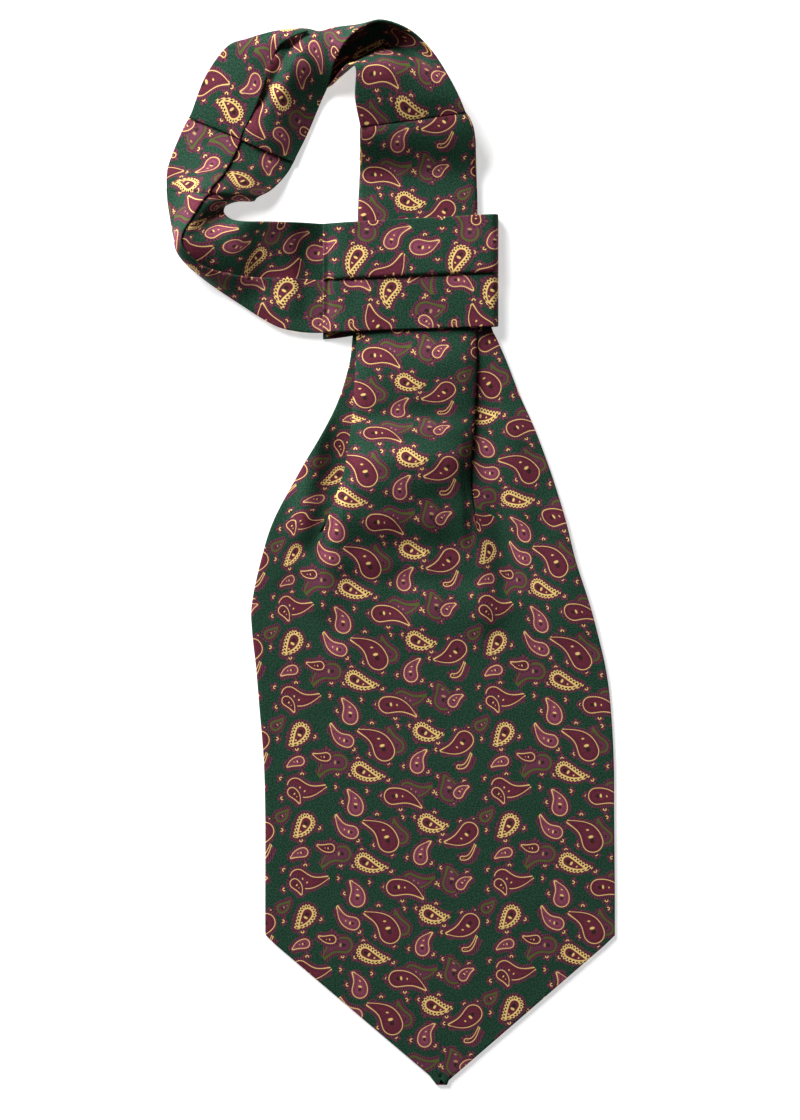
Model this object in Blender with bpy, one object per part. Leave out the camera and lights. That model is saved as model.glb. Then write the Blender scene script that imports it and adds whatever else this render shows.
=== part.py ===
"""A silk cravat laid flat: pointed blade, pleated neck strip and keeper loop.

Every piece is a thin closed wall of cloth.  It is lofted through a short table of sections, one row
for each place where the outline, a pleat or a fold changes.  Lengths are in millimetres until the
meshes are made.  X runs to the right, Y towards the neck, Z up from the table the cravat lies on.
"""

import math
from collections import namedtuple

import bmesh
import bpy
from mathutils import Vector
from mathutils.bvhtree import BVHTree

# Driving dimensions, in millimetres
MM = 0.001
BLADE_WALL = 1.5  # self-lined silk, hems pressed flat
PLEAT_RISE = 1.5  # how far the box pleat's centre panel stands above its side panels
FOLD_SLOPE = 0.8  # width of the rounded crest of a pressed fold
KEEPER_WALL = 1.2
KEEPER_LAP = 0.8  # rise of the keeper's upper half over its lower half
NECK_WALL = 2.0  # the neck strip is folded in four
LAP_WALL = 1.2  # the half of the neck strip that laps over the other
SEAM_GAP = 0.3
KEEPER_BORE = 3.6  # height left inside the keeper for the strip it holds

# The blade's plain lower part
CORNER_Y = -174.5
CORNER_LEFT = -57.0
CORNER_RIGHT = 102.6
TIP_X = 23.6
TIP_Y = -242.9
TIP_WIDTH = 1.2
POINT_ROWS = 5
FADE_LEFT = 0.17  # where the pleats, once open, would cross the width of the blade
FADE_RIGHT = 0.69

# The keeper's outline: its sewn left end, its folded right end and its two edges
KEEPER_LEFT = -30.8
KEEPER_RIGHT = 49.3
KEEPER_RAMP = 12.0  # length over which its front climbs from the seam onto the strip
KEEPER_RAMP_STEPS = 4
KEEPER_TURN_STEPS = 6
KEEPER_BACK_STEPS = 4
KeeperRow = namedtuple("KeeperRow", "left_y right_y lap")
KEEPER_ROWS = (
    #         left_y right_y lap
    KeeperRow(100.8, 103.5, 0.0),
    KeeperRow(125.0, 128.2, 0.0),
    KeeperRow(125.6, 128.8, KEEPER_LAP),
    KeeperRow(150.4, 154.8, KEEPER_LAP),
)

BladeRow = namedtuple("BladeRow", "y left left_fold right_fold right rise lift slant")
BLADE_ROWS = (
    #        y       left    l_fold  r_fold  right   rise  lift  slant
    BladeRow(-155.0, -57.2, -30.1, 53.1, 102.6, 0.0, 0.0, 0.0),
    BladeRow(-120.0, -57.2, -30.1, 52.9, 102.3, 0.0, 0.0, 0.0),
    BladeRow(-94.5, -57.9, -30.7, 52.5, 102.1, 0.0, 0.0, 0.0),
    BladeRow(-69.0, -60.0, -32.7, 50.8, 100.6, 0.0, 0.0, 0.0),
    BladeRow(-52.0, -61.4, -34.2, 48.8, 98.3, 0.1, 0.0, 0.0),
    BladeRow(-35.5, -63.2, -36.4, 45.5, 94.4, 0.2, 0.0, 0.0),
    BladeRow(-23.0, -63.3, -36.6, 43.2, 91.0, 0.4, 0.0, 0.0),
    BladeRow(-3.0, -59.1, -34.5, 40.0, 84.6, 0.7, 0.0, 0.0),
    BladeRow(15.5, -53.2, -28.1, 38.2, 80.0, 1.0, 0.0, 0.0),
    BladeRow(36.5, -41.8, -20.7, 35.9, 73.5, 1.3, 0.0, 0.0),
    BladeRow(57.0, -29.9, -17.3, 37.5, 65.9, 1.5, 0.0, 0.0),
    BladeRow(72.0, -23.0, -16.0, 38.2, 59.2, 1.5, 0.0, 0.0),
    BladeRow(88.0, -18.5, -15.0, 38.7, 53.0, 1.5, 0.4, 0.0),
    BladeRow(98.0, -17.4, -14.8, 38.7, 48.6, 1.5, 1.5, 0.0),
    BladeRow(104.0, -16.8, -14.8, 38.7, 46.0, 1.5, 1.5, 0.0),
    BladeRow(125.0, -16.0, -14.8, 38.7, 41.0, 1.5, 1.5, 0.0),
    BladeRow(148.0, -15.1, -14.1, 38.8, 39.8, 1.5, 1.5, 0.0),
    BladeRow(157.5, -14.8, -13.8, 38.8, 39.8, 1.5, 1.5, 0.0),
    BladeRow(164.0, -14.5, -13.5, 38.7, 39.7, 1.5, 0.8, 0.0),
    BladeRow(172.0, -14.1, -13.1, 38.4, 39.4, 1.5, 1.0, 0.0),
    BladeRow(183.0, -13.8, -12.8, 37.9, 38.9, 1.5, 4.5, 2.0),
    BladeRow(189.0, -13.7, -12.7, 36.8, 37.8, 1.5, 6.8, 4.5),
    BladeRow(192.8, -13.6, -12.6, 34.4, 35.4, 1.5, 8.2, 6.0),
)

NeckRow = namedtuple("NeckRow", "left mid fold right")
# From the blade's seam over the half turn at the top and down to the diagonal seam.  Each section
# runs from the strip's left edge to its right edge; the right edge becomes the hole's rim.
MIDDLE_ROWS = (
    #       left edge              middle                  turn over the top       right edge
    NeckRow((-13.6, 193.6, 10.2), (2.5, 195.7, 10.4), (18.5, 197.9, 10.4), (34.4, 200.1, 10.4)),
    NeckRow((-16.0, 206.5, 15.0), (1.0, 208.5, 15.4), (17.0, 208.0, 14.5), (31.0, 208.0, 12.5)),
    NeckRow((-15.7, 219.5, 19.0), (0.0, 221.0, 18.5), (14.0, 219.0, 15.5), (26.6, 216.5, 12.8)),
    NeckRow((-19.5, 221.5, 15.0), (-2.0, 227.0, 11.5), (10.0, 226.5, 10.0), (20.6, 226.0, 13.5)),
    NeckRow((-23.5, 218.0, 9.0), (-7.0, 229.0, 4.0), (4.5, 232.5, 6.0), (12.6, 234.4, 16.0)),
    NeckRow((-27.5, 213.5, 4.5), (-12.0, 228.5, 2.0), (0.5, 238.0, 5.5), (4.5, 239.0, 18.5)),
    NeckRow((-32.0, 212.0, 2.2), (-17.0, 229.0, 1.5), (-5.5, 241.1, 5.5), (-5.0, 241.1, 20.0)),
    NeckRow((-38.0, 212.0, 1.5), (-24.0, 230.0, 1.3), (-15.5, 240.0, 5.5), (-12.8, 238.3, 19.0)),
    NeckRow((-43.0, 219.0, 1.2), (-34.0, 230.5, 1.2), (-27.5, 238.8, 5.0), (-19.8, 232.5, 16.5)),
    NeckRow((-44.5, 238.2, 1.0), (-38.5, 239.2, 2.8), (-33.0, 234.5, 7.5), (-24.9, 224.0, 13.5)),
    NeckRow((-62.0, 235.6, 1.0), (-54.5, 231.5, 2.6), (-44.0, 225.0, 6.5), (-27.9, 214.5, 11.0)),
    NeckRow((-74.5, 230.5, 1.0), (-63.0, 224.5, 2.0), (-49.0, 216.5, 4.5), (-31.6, 206.5, 8.5)),
    NeckRow((-84.0, 217.5, 1.0), (-69.5, 210.5, 1.6), (-54.0, 202.0, 2.6), (-37.7, 192.0, 5.0)),
    NeckRow((-90.8, 201.2, 1.0), (-75.0, 194.5, 1.2), (-59.0, 187.7, 1.6), (-43.0, 181.2, 3.0)),
)

EndRow = namedtuple("EndRow", "outer pleat inner")
# From the diagonal seam round the left turn and along to the keeper's seam.
END_ROWS = (
    #      outer edge             pleat line              inner edge
    EndRow((-91.1, 200.4, 1.0), (-67.3, 190.4, 1.4), (-43.3, 180.4, 3.0)),
    EndRow((-95.6, 191.2, 1.0), (-70.8, 181.5, 2.8), (-47.3, 173.4, 5.0)),
    EndRow((-101.2, 176.5, 1.0), (-75.5, 172.5, 5.5), (-54.0, 166.0, 7.0)),
    EndRow((-101.6, 166.0, 1.0), (-81.5, 164.3, 8.5), (-61.0, 162.0, 7.5)),
    EndRow((-100.8, 159.5, 1.0), (-85.6, 158.7, 11.0), (-69.0, 161.5, 6.0)),
    EndRow((-99.0, 151.5, 1.0), (-90.5, 150.5, 13.5), (-74.5, 159.5, 4.0)),
    EndRow((-97.0, 143.3, 1.0), (-94.2, 142.5, 14.5), (-75.8, 155.5, 2.4)),
    EndRow((-93.8, 135.5, 1.0), (-91.5, 136.5, 12.5), (-72.0, 152.0, 1.5)),
    EndRow((-84.5, 126.5, 1.0), (-83.0, 130.5, 7.5), (-66.0, 150.9, 1.0)),
    EndRow((-69.5, 115.0, 1.0), (-68.0, 126.8, 3.0), (-57.0, 150.8, 1.0)),
    EndRow((-53.5, 104.5, 1.0), (-52.0, 126.0, 1.2), (-46.0, 150.8, 1.0)),
    EndRow((-43.0, 101.4, 1.0), (-41.5, 125.5, 1.0), (-39.0, 150.8, 1.0)),
    EndRow((-33.0, 100.7, 1.0), (-31.6, 124.6, 1.0), (-31.2, 150.6, 1.0)),
)

LapRow = namedtuple("LapRow", "outer pleat")
# The half of the diagonal stretch that laps over the other, from the top down to its seam.
MIDDLE_LAP_ROWS = (
    #      outer edge      pleat line
    LapRow((-39.5, 239.3), (-37.4, 237.6)),
    LapRow((-46.5, 238.8), (-44.0, 235.0)),
    LapRow((-54.5, 237.8), (-50.9, 230.5)),
    LapRow((-65.0, 234.8), (-54.3, 222.0)),
    LapRow((-74.6, 231.0), (-57.0, 214.5)),
    LapRow((-84.3, 217.6), (-61.0, 203.5)),
    LapRow((-90.6, 201.5), (-67.0, 191.5)),
)
DROP_HEIGHT = 100.0  # a lapping half is let down onto its strip from above every fold
LAP_REST = 0.5  # how far a lapping half lies above the half it covers

SILK_GREEN = (0.017, 0.107, 0.051, 1.0)
SILK_ROUGHNESS = 0.45


def clear_scene():
    """Removes whatever the scene holds before the cravat is built."""
    for item in list(bpy.data.objects):
        bpy.data.objects.remove(item, do_unlink=True)


def silk(name):
    """A plain green silk finish."""
    material = bpy.data.materials.new(name)
    material.use_nodes = True
    shader = material.node_tree.nodes["Principled BSDF"]
    shader.inputs["Base Color"].default_value = SILK_GREEN
    shader.inputs["Roughness"].default_value = SILK_ROUGHNESS
    shader.inputs["Metallic"].default_value = 0.0
    return material


def between(low, high, share):
    """The value a share of the way from low to high."""
    return low + (high - low) * share


def curve_point(before, start, end, after, share):
    """A point of the smooth curve that passes from start to end."""
    pull = (end - before) * share
    bend = (before * 2 - start * 5 + end * 4 - after) * share**2
    twist = (start * 3 - before - end * 3 + after) * share**3
    return start + (pull + bend + twist) * 0.5


def smooth(points, steps):
    """The points, with steps - 1 more between each two, on one smooth curve through them."""
    first = points[0] * 2 - points[1]
    last = points[-1] * 2 - points[-2]
    padded = [first, *points, last]
    found = []
    for place in range(1, len(padded) - 2):
        for step in range(steps):
            found.append(curve_point(*padded[place - 1 : place + 3], step / steps))
    return [*found, points[-1]]


def smooth_grid(rows, along, across):
    """A finer grid through the rows' points: along steps between rows, across within each."""
    columns = [smooth([Vector(row[place]) for row in rows], along) for place in range(len(rows[0]))]
    return [smooth(list(section), across) for section in zip(*columns)]


def grid_normal(grid, row, column):
    """The unit normal of a grid at one of its points, pointing up where the cloth lies flat."""
    ahead = grid[min(row + 1, len(grid) - 1)][column] - grid[max(row - 1, 0)][column]
    last = len(grid[row]) - 1
    aside = grid[row][min(column + 1, last)] - grid[row][max(column - 1, 0)]
    return aside.cross(ahead).normalized()


def offset_grid(grid, distance, side=1.0):
    """The grid moved out along its normals; side is -1 where its back face is uppermost."""
    return [
        [point + grid_normal(grid, i, j) * distance * side for j, point in enumerate(section)]
        for i, section in enumerate(grid)
    ]


def on_table(grid, floor=0.0):
    """The grid with nothing below the height that it rests on."""
    return [[Vector((p.x, p.y, max(p.z, floor))) for p in section] for section in grid]


def add_wall(name, upper, lower, material, ring=False):
    """One closed wall between an upper and a lower grid; ring joins each section's two ends."""
    shape = bmesh.new()
    sides = [[[shape.verts.new(p * MM) for p in row] for row in grid] for grid in (upper, lower)]
    rows, columns = len(upper), len(upper[0])
    steps = columns if ring else columns - 1
    for side in sides:
        for i in range(rows - 1):
            for j in range(steps):
                after = (j + 1) % columns
                shape.faces.new((side[i][j], side[i][after], side[i + 1][after], side[i + 1][j]))
    top, bottom = sides
    for i in (0, rows - 1):
        for j in range(steps):
            after = (j + 1) % columns
            shape.faces.new((top[i][j], top[i][after], bottom[i][after], bottom[i][j]))
    if not ring:
        for j in (0, columns - 1):
            for i in range(rows - 1):
                shape.faces.new((top[i][j], top[i + 1][j], bottom[i + 1][j], bottom[i][j]))
    bmesh.ops.recalc_face_normals(shape, faces=shape.faces)
    mesh = bpy.data.meshes.new(name)
    shape.to_mesh(mesh)
    shape.free()
    mesh.materials.append(material)
    mesh.shade_smooth()
    mesh.set_sharp_from_angle(angle=math.radians(40))
    piece = bpy.data.objects.new(name, mesh)
    bpy.context.scene.collection.objects.link(piece)
    return piece


def point_rows():
    """The rows of the blade's point, from its tip up to its two corners."""
    rows = []
    for step in range(POINT_ROWS):
        share = step / (POINT_ROWS - 1)
        left = between(TIP_X - TIP_WIDTH / 2, CORNER_LEFT, share)
        right = between(TIP_X + TIP_WIDTH / 2, CORNER_RIGHT, share)
        folds = [between(left, right, fade) for fade in (FADE_LEFT, FADE_RIGHT)]
        rows.append(BladeRow(between(TIP_Y, CORNER_Y, share), left, *folds, right, 0.0, 0.0, 0.0))
    return rows


def smooth_blade_rows(steps):
    """The blade's upper rows with more between them, on smooth curves."""
    columns = zip(*BLADE_ROWS)
    values = [smooth([Vector((value, 0.0)) for value in column], steps) for column in columns]
    return [BladeRow(*(value.x for value in row)) for row in zip(*values)]


def blade_section(row):
    """The upper and lower points across the blade at one row."""
    slope = min(FOLD_SLOPE, (row.right_fold - row.left_fold) * 0.02)
    low = row.lift + BLADE_WALL
    high = low + max(row.rise, 0.0)
    marks = [
        (row.left, low),
        (between(row.left, row.left_fold, 0.5), low),
        (row.left_fold, low),
        (row.left_fold + slope, high),
        (between(row.left_fold, row.right_fold, 0.33), high),
        (between(row.left_fold, row.right_fold, 0.67), high),
        (row.right_fold - slope, high),
        (row.right_fold, low),
        (between(row.right_fold, row.right, 0.5), low),
        (row.right, low),
    ]
    upper, lower = [], []
    for x, z in marks:
        y = row.y + row.slant * (x - row.left) / (row.right - row.left)
        upper.append(Vector((x, y, z)))
        lower.append(Vector((x, y, max(row.lift, 0.0))))
    return upper, lower


def build_blade(material):
    """The blade: its point, its apron, the box pleat and the strip that the keeper holds."""
    rows = point_rows() + smooth_blade_rows(2)
    sections = [blade_section(row) for row in rows]
    return add_wall("blade", [s[0] for s in sections], [s[1] for s in sections], material)


def keeper_path():
    """The keeper's closed path in X and Z, midway in its wall, from its seam along its front."""
    back = KEEPER_WALL / 2
    front = back + KEEPER_WALL + KEEPER_BORE + SEAM_GAP
    seam_front = back + KEEPER_WALL + SEAM_GAP
    radius = (front - back) / 2
    turn_x = KEEPER_RIGHT - KEEPER_WALL / 2 - radius
    seam_x = KEEPER_LEFT + KEEPER_WALL
    path = [Vector((seam_x, seam_front))]
    for step in range(1, KEEPER_RAMP_STEPS + 1):
        share = step / KEEPER_RAMP_STEPS
        ease = share * share * (3 - 2 * share)
        path.append(Vector((seam_x + KEEPER_RAMP * share, between(seam_front, front, ease))))
    path.append(Vector((between(path[-1].x, turn_x, 0.5), front)))
    for step in range(KEEPER_TURN_STEPS + 1):
        angle = math.pi / 2 - math.pi * step / KEEPER_TURN_STEPS
        spoke = Vector((math.cos(angle), math.sin(angle))) * radius
        path.append(Vector((turn_x, back + radius)) + spoke)
    for step in range(1, KEEPER_BACK_STEPS + 1):
        path.append(Vector((between(turn_x, seam_x, step / KEEPER_BACK_STEPS), back)))
    path.append(Vector((seam_x - KEEPER_WALL / 2, (back + seam_front) / 2)))
    return path


def path_normals(path):
    """Outward unit normals of a closed path that runs clockwise."""
    normals = []
    for place, _ in enumerate(path):
        along = (path[(place + 1) % len(path)] - path[place - 1]).normalized()
        normals.append(Vector((-along.y, along.x)))
    return normals


def keeper_lap_share(point, normal, front_height):
    """How much of the lap's rise the keeper's front has at a point of its path, from 0 to 1."""
    if normal.y <= 0.0:
        return 0.0
    share = (point.y - KEEPER_WALL) / (front_height - KEEPER_WALL)
    return min(max(share, 0.0), 1.0) * normal.y


def build_keeper(material):
    """The keeper: a flattened loop round the strip, its upper half lapping its lower half."""
    path = keeper_path()
    front_height = max(point.y for point in path)
    outer, inner = [], []
    for row in KEEPER_ROWS:
        outside, inside = [], []
        for point, normal in zip(path, path_normals(path)):
            y = between(row.left_y, row.right_y, (point.x - KEEPER_LEFT) / (KEEPER_RIGHT - KEEPER_LEFT))
            lap = row.lap * keeper_lap_share(point, normal, front_height)
            out = point + normal * (KEEPER_WALL / 2 + lap)
            back = point - normal * (KEEPER_WALL / 2)
            outside.append(Vector((out.x, y, out.y)))
            inside.append(Vector((back.x, y, back.y)))
        outer.append(outside)
        inner.append(inside)
    return add_wall("keeper", outer, inner, material, ring=True)


def build_strip(name, grid, wall, material, side=1.0):
    """A neck strip: its middle surface is the grid, and it rests on the table where it is low."""
    upper = on_table(offset_grid(grid, wall / 2, side))
    lower = on_table(offset_grid(grid, -wall / 2, side))
    return add_wall(name, upper, lower, material)


def build_lap(name, grid, first, last, material, side=1.0):
    """The half of a strip that lies on the other, made from its columns first to last."""
    over = [section[first : last + 1] for section in offset_grid(grid, NECK_WALL / 2 + SEAM_GAP, side)]
    upper = [
        [point + grid_normal(over, i, j) * LAP_WALL * side for j, point in enumerate(section)]
        for i, section in enumerate(over)
    ]
    return add_wall(name, upper, over, material)


def build_laid_lap(name, base, material):
    """The diagonal stretch's lapping half, laid on the strip that it covers."""
    covered = BVHTree.FromPolygons(
        [vertex.co / MM for vertex in base.data.vertices],
        [tuple(face.vertices) for face in base.data.polygons],
    )
    flat = [[Vector((*outer, 0.0)), Vector((*pleat, 0.0))] for outer, pleat in MIDDLE_LAP_ROWS]
    lower = []
    for section in smooth_grid(flat, along=4, across=4):
        laid = []
        for point in section:
            found = covered.ray_cast(Vector((point.x, point.y, DROP_HEIGHT)), Vector((0.0, 0.0, -1.0)))
            height = found[0].z if found[0] else NECK_WALL
            laid.append(Vector((point.x, point.y, height + LAP_REST)))
        lower.append(laid)
    upper = [[point + Vector((0.0, 0.0, LAP_WALL)) for point in section] for section in lower]
    return add_wall(name, upper, lower, material)


def build_cravat():
    """Builds every piece of the cravat."""
    clear_scene()
    build_blade(silk("blade_silk"))
    build_keeper(silk("keeper_silk"))
    middle = smooth_grid(MIDDLE_ROWS, along=3, across=4)
    strip = build_strip("neck_middle", middle, NECK_WALL, silk("neck_middle_silk"))
    build_laid_lap("neck_middle_lap", strip, silk("neck_middle_lap_silk"))
    end = smooth_grid(END_ROWS, along=3, across=4)
    build_strip("neck_end", end, NECK_WALL, silk("neck_end_silk"), side=-1.0)
    build_lap("neck_end_lap", end, 0, 4, silk("neck_end_lap_silk"), side=-1.0)


build_cravat()
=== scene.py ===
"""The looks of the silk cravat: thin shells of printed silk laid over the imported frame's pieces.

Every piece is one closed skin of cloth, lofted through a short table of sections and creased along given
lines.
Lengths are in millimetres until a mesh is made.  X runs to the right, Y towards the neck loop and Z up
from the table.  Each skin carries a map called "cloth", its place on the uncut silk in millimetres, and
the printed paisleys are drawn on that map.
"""

import logging
import math
from dataclasses import dataclass
from enum import Enum
from typing import Sequence, Union

import bpy
import numpy as np
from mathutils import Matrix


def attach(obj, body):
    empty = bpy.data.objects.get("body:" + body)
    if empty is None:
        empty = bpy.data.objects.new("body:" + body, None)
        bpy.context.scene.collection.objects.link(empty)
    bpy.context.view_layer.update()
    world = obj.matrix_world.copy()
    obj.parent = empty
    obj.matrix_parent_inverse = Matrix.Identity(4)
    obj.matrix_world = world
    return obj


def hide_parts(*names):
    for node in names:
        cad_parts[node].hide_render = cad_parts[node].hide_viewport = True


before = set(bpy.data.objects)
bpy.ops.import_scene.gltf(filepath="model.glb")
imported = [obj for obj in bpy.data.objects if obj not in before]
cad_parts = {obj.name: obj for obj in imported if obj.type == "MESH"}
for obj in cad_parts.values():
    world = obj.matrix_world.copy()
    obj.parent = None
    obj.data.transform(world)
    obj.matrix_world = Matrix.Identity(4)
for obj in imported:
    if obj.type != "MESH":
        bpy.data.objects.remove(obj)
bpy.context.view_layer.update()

MM = 0.001
CLOTH_MAP = "cloth"
ROOT = "root"
HALF_TURN = math.pi
TINY = 1e-9
WHITE = (1.0, 1.0, 1.0, 1.0)

log = logging.getLogger("cravat")

Point = tuple[float, float]
Place = tuple[float, float, float]
Array = np.ndarray
Table = tuple[Point, ...]
Sections = tuple[tuple[Place, ...], ...]
Socket = bpy.types.NodeSocket
Operand = Union["Term", Socket, float]


# ---- Curves and grids


def spline_weights(count: int, places: Array) -> Array:
    """Weights that read a smooth curve through evenly numbered points.

    Args:
        count: How many points the curve passes through.
        places: Where to read it, from 0 at the first point to count - 1 at the last.

    Returns:
        One row of weights for each place, one column for each point.
    """
    base = np.clip(np.floor(places).astype(int), 0, count - 2)
    share = places - base
    square, cube = share**2, share**3
    pulls = (
        -share + 2 * square - cube,
        2 - 5 * square + 3 * cube,
        share + 4 * square - 3 * cube,
        cube - square,
    )
    padded = np.zeros((len(places), count + 2))
    rows = np.arange(len(places))
    for step, pull in enumerate(pulls):
        padded[rows, base + step] += pull / 2
    weights = padded[:, 1:-1].copy()
    weights[:, 0] += 2 * padded[:, 0]
    weights[:, 1] -= padded[:, 0]
    weights[:, -1] += 2 * padded[:, -1]
    weights[:, -2] -= padded[:, -1]
    return weights


def loft(sections: Sections, along: Array, across: Array) -> Array:
    """A fine grid through a table of sections.

    Args:
        sections: The sections in order along the cloth, each with the same number of points.
        along: Shares of the table's length at which to make rows.
        across: Shares of a section's width at which to make columns.

    Returns:
        The grid's points, indexed by row, column and axis.
    """
    table = np.array(sections, float)
    rows = spline_weights(table.shape[0], along * (table.shape[0] - 1))
    columns = spline_weights(table.shape[1], across * (table.shape[1] - 1))
    return np.einsum("ri,ijk,cj->rck", rows, table, columns)


# Where a rounded rim has its rows, in its own radii from the edge.
RIM_STEPS = (0.0, 0.08, 0.3, 0.65, 1.1)


def shares(length: float, spacing: float, rim: float) -> Array:
    """Shares from 0 to 1 of a length, evenly spaced but for a few close ones at each rounded rim.

    Args:
        length: The length in millimetres.
        spacing: The even spacing in millimetres.
        rim: The radius of the rounded rim at each end in millimetres.

    Returns:
        The shares in rising order.
    """
    close = np.array(RIM_STEPS) * rim
    count = max(int(round((length - 2 * close[-1]) / spacing)), 2)
    middle = np.linspace(close[-1], length - close[-1], count + 1)[1:-1]
    return np.concatenate([close, middle, (length - close)[::-1]]) / length


def ease(value: Array) -> Array:
    """A smooth step from 0 to 1 for values from 0 to 1."""
    held = np.clip(value, 0.0, 1.0)
    return held * held * (3 - 2 * held)


def between(places: Sequence[Point], at: Array) -> Array:
    """A value read along straight lines from each named place to the next."""
    return np.interp(at, *zip(*places))


def level(places: Sequence[Point], at: Array) -> Array:
    """A height that eases from each named place to the next.

    Args:
        places: Pairs of a place and the height there, in rising order of place.
        at: Where to read the height.

    Returns:
        The heights.
    """
    marks, heights = (np.array(part, float) for part in zip(*places))
    base = np.clip(np.searchsorted(marks, at) - 1, 0, len(marks) - 2)
    share = ease((at - marks[base]) / (marks[base + 1] - marks[base]))
    return heights[base] + (heights[base + 1] - heights[base]) * share


def grid_normals(grid: Array) -> Array:
    """Unit normals of a grid, pointing up where its columns run to the right of its rows."""
    ahead = np.gradient(grid, axis=0)
    aside = np.gradient(grid, axis=1)
    found = np.cross(aside, ahead)
    return found / np.maximum(np.linalg.norm(found, axis=2, keepdims=True), TINY)


def run_along(grid: Array, axis: int) -> Array:
    """The distance run from a grid's first row or column to each of its points."""
    steps = np.linalg.norm(np.diff(grid, axis=axis), axis=2)
    run = np.cumsum(steps, axis=axis)
    first = np.zeros_like(np.take(run, [0], axis=axis))
    return np.concatenate([first, run], axis=axis)


@dataclass(frozen=True)
class Crease:
    """A soft ridge or trough across a cloth, between two points of its plan.

    Attributes:
        start: Where it starts.
        end: Where it ends.
        height: How far it rises, below zero for a trough.
        width: How far it spreads to the left of its line.
        far_width: How far it spreads to the right of its line.
    """

    start: Point
    end: Point
    height: float
    width: float
    far_width: float = 0.0

    def rise(self, grid: Array) -> Array:
        """The rise at each point of a grid."""
        start, end = np.array(self.start), np.array(self.end)
        length = np.linalg.norm(end - start)
        ahead = (end - start) / length
        offset = grid[..., :2] - start
        along = offset @ ahead / length
        beside = offset[..., 1] * ahead[0] - offset[..., 0] * ahead[1]
        spread = np.where(beside > 0, self.width, self.far_width or self.width)
        past = np.maximum(np.maximum(-along, along - 1), 0) * length
        fade = ease(1 - np.abs(2 * along - 1) ** 3)
        return self.height * np.exp(-((beside / spread) ** 2)) * fade * (past == 0)


def creased(grid: Array, creases: Sequence[Crease]) -> Array:
    """The grid raised and lowered by its creases."""
    found = grid.copy()
    for crease in creases:
        found[..., 2] += crease.rise(grid)
    return found


# ---- A skin of cloth


@dataclass
class Skin:
    """A thin closed skin of cloth over a grid, with softly rounded rims.

    Attributes:
        name: The piece's name.
        middle: The grid midway in the cloth.
        print_face: The place on the uncut silk of each point of the upper face.
        print_back: The same for the lower face.
        half: Half the cloth's thickness.
        rest: The lowest height that the cloth may have.
    """

    name: str
    middle: Array
    print_face: Array
    print_back: Array
    half: float = 0.6
    rest: float = 0.05

    def half_thickness(self) -> Array:
        """Half the thickness at each point: full inside, none at the rims."""
        nearest = np.full(self.middle.shape[:2], np.inf)
        for axis in (0, 1):
            run = run_along(self.middle, axis)
            left = np.take(run, [-1], axis=axis) - run
            nearest = np.minimum(nearest, np.minimum(run, left))
        inside = np.minimum(nearest / self.half, 1.0)
        return self.half * np.sqrt(1 - (1 - inside) ** 2)

    def faces(self) -> tuple[Array, Array]:
        """The upper and lower grids of the skin."""
        out = grid_normals(self.middle) * self.half_thickness()[..., None]
        upper, lower = self.middle + out, self.middle - out
        for face in (upper, lower):
            face[..., 2] = np.maximum(face[..., 2], self.rest)
        return upper, lower

    def build(self, finish: bpy.types.Material) -> bpy.types.Object:
        """Makes the skin's mesh.

        Args:
            finish: The material that it wears.

        Returns:
            The new object.
        """
        upper, lower = self.faces()
        rows, columns = self.middle.shape[:2]
        top = np.arange(rows * columns).reshape(rows, columns)
        bottom = top.copy()
        inner = (rows - 2) * (columns - 2)
        bottom[1:-1, 1:-1] = rows * columns + np.arange(inner).reshape(rows - 2, columns - 2)
        points = np.concatenate([upper.reshape(-1, 3), lower[1:-1, 1:-1].reshape(-1, 3)]) * MM
        faces = [quads(top), quads(bottom)[:, ::-1]]
        mesh = bpy.data.meshes.new(self.name)
        mesh.from_pydata(points.tolist(), [], np.concatenate(faces).tolist())
        printed = [quads(self.print_face), quads(self.print_back)[:, ::-1]]
        cloth = mesh.uv_layers.new(name=CLOTH_MAP)
        cloth.uv.foreach_set("vector", np.concatenate(printed).astype(np.float32).ravel())
        mesh.materials.append(finish)
        mesh.shade_smooth()
        mesh.validate()
        piece = bpy.data.objects.new(self.name, mesh)
        bpy.context.scene.collection.objects.link(piece)
        return piece


def quads(values: Array) -> Array:
    """The values at the four corners of each quad of a grid, in order round the quad."""
    corners = (values[:-1, :-1], values[:-1, 1:], values[1:, 1:], values[1:, :-1])
    return np.stack(corners, axis=2).reshape(-1, len(corners), *values.shape[2:])


# ---- Formulas made of nodes


# The numbers of a mix node's sockets: its factor, its two values and its result.
VECTOR_MIX = (0, 4, 5, 1)
COLOUR_MIX = (0, 6, 7, 2)


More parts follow.
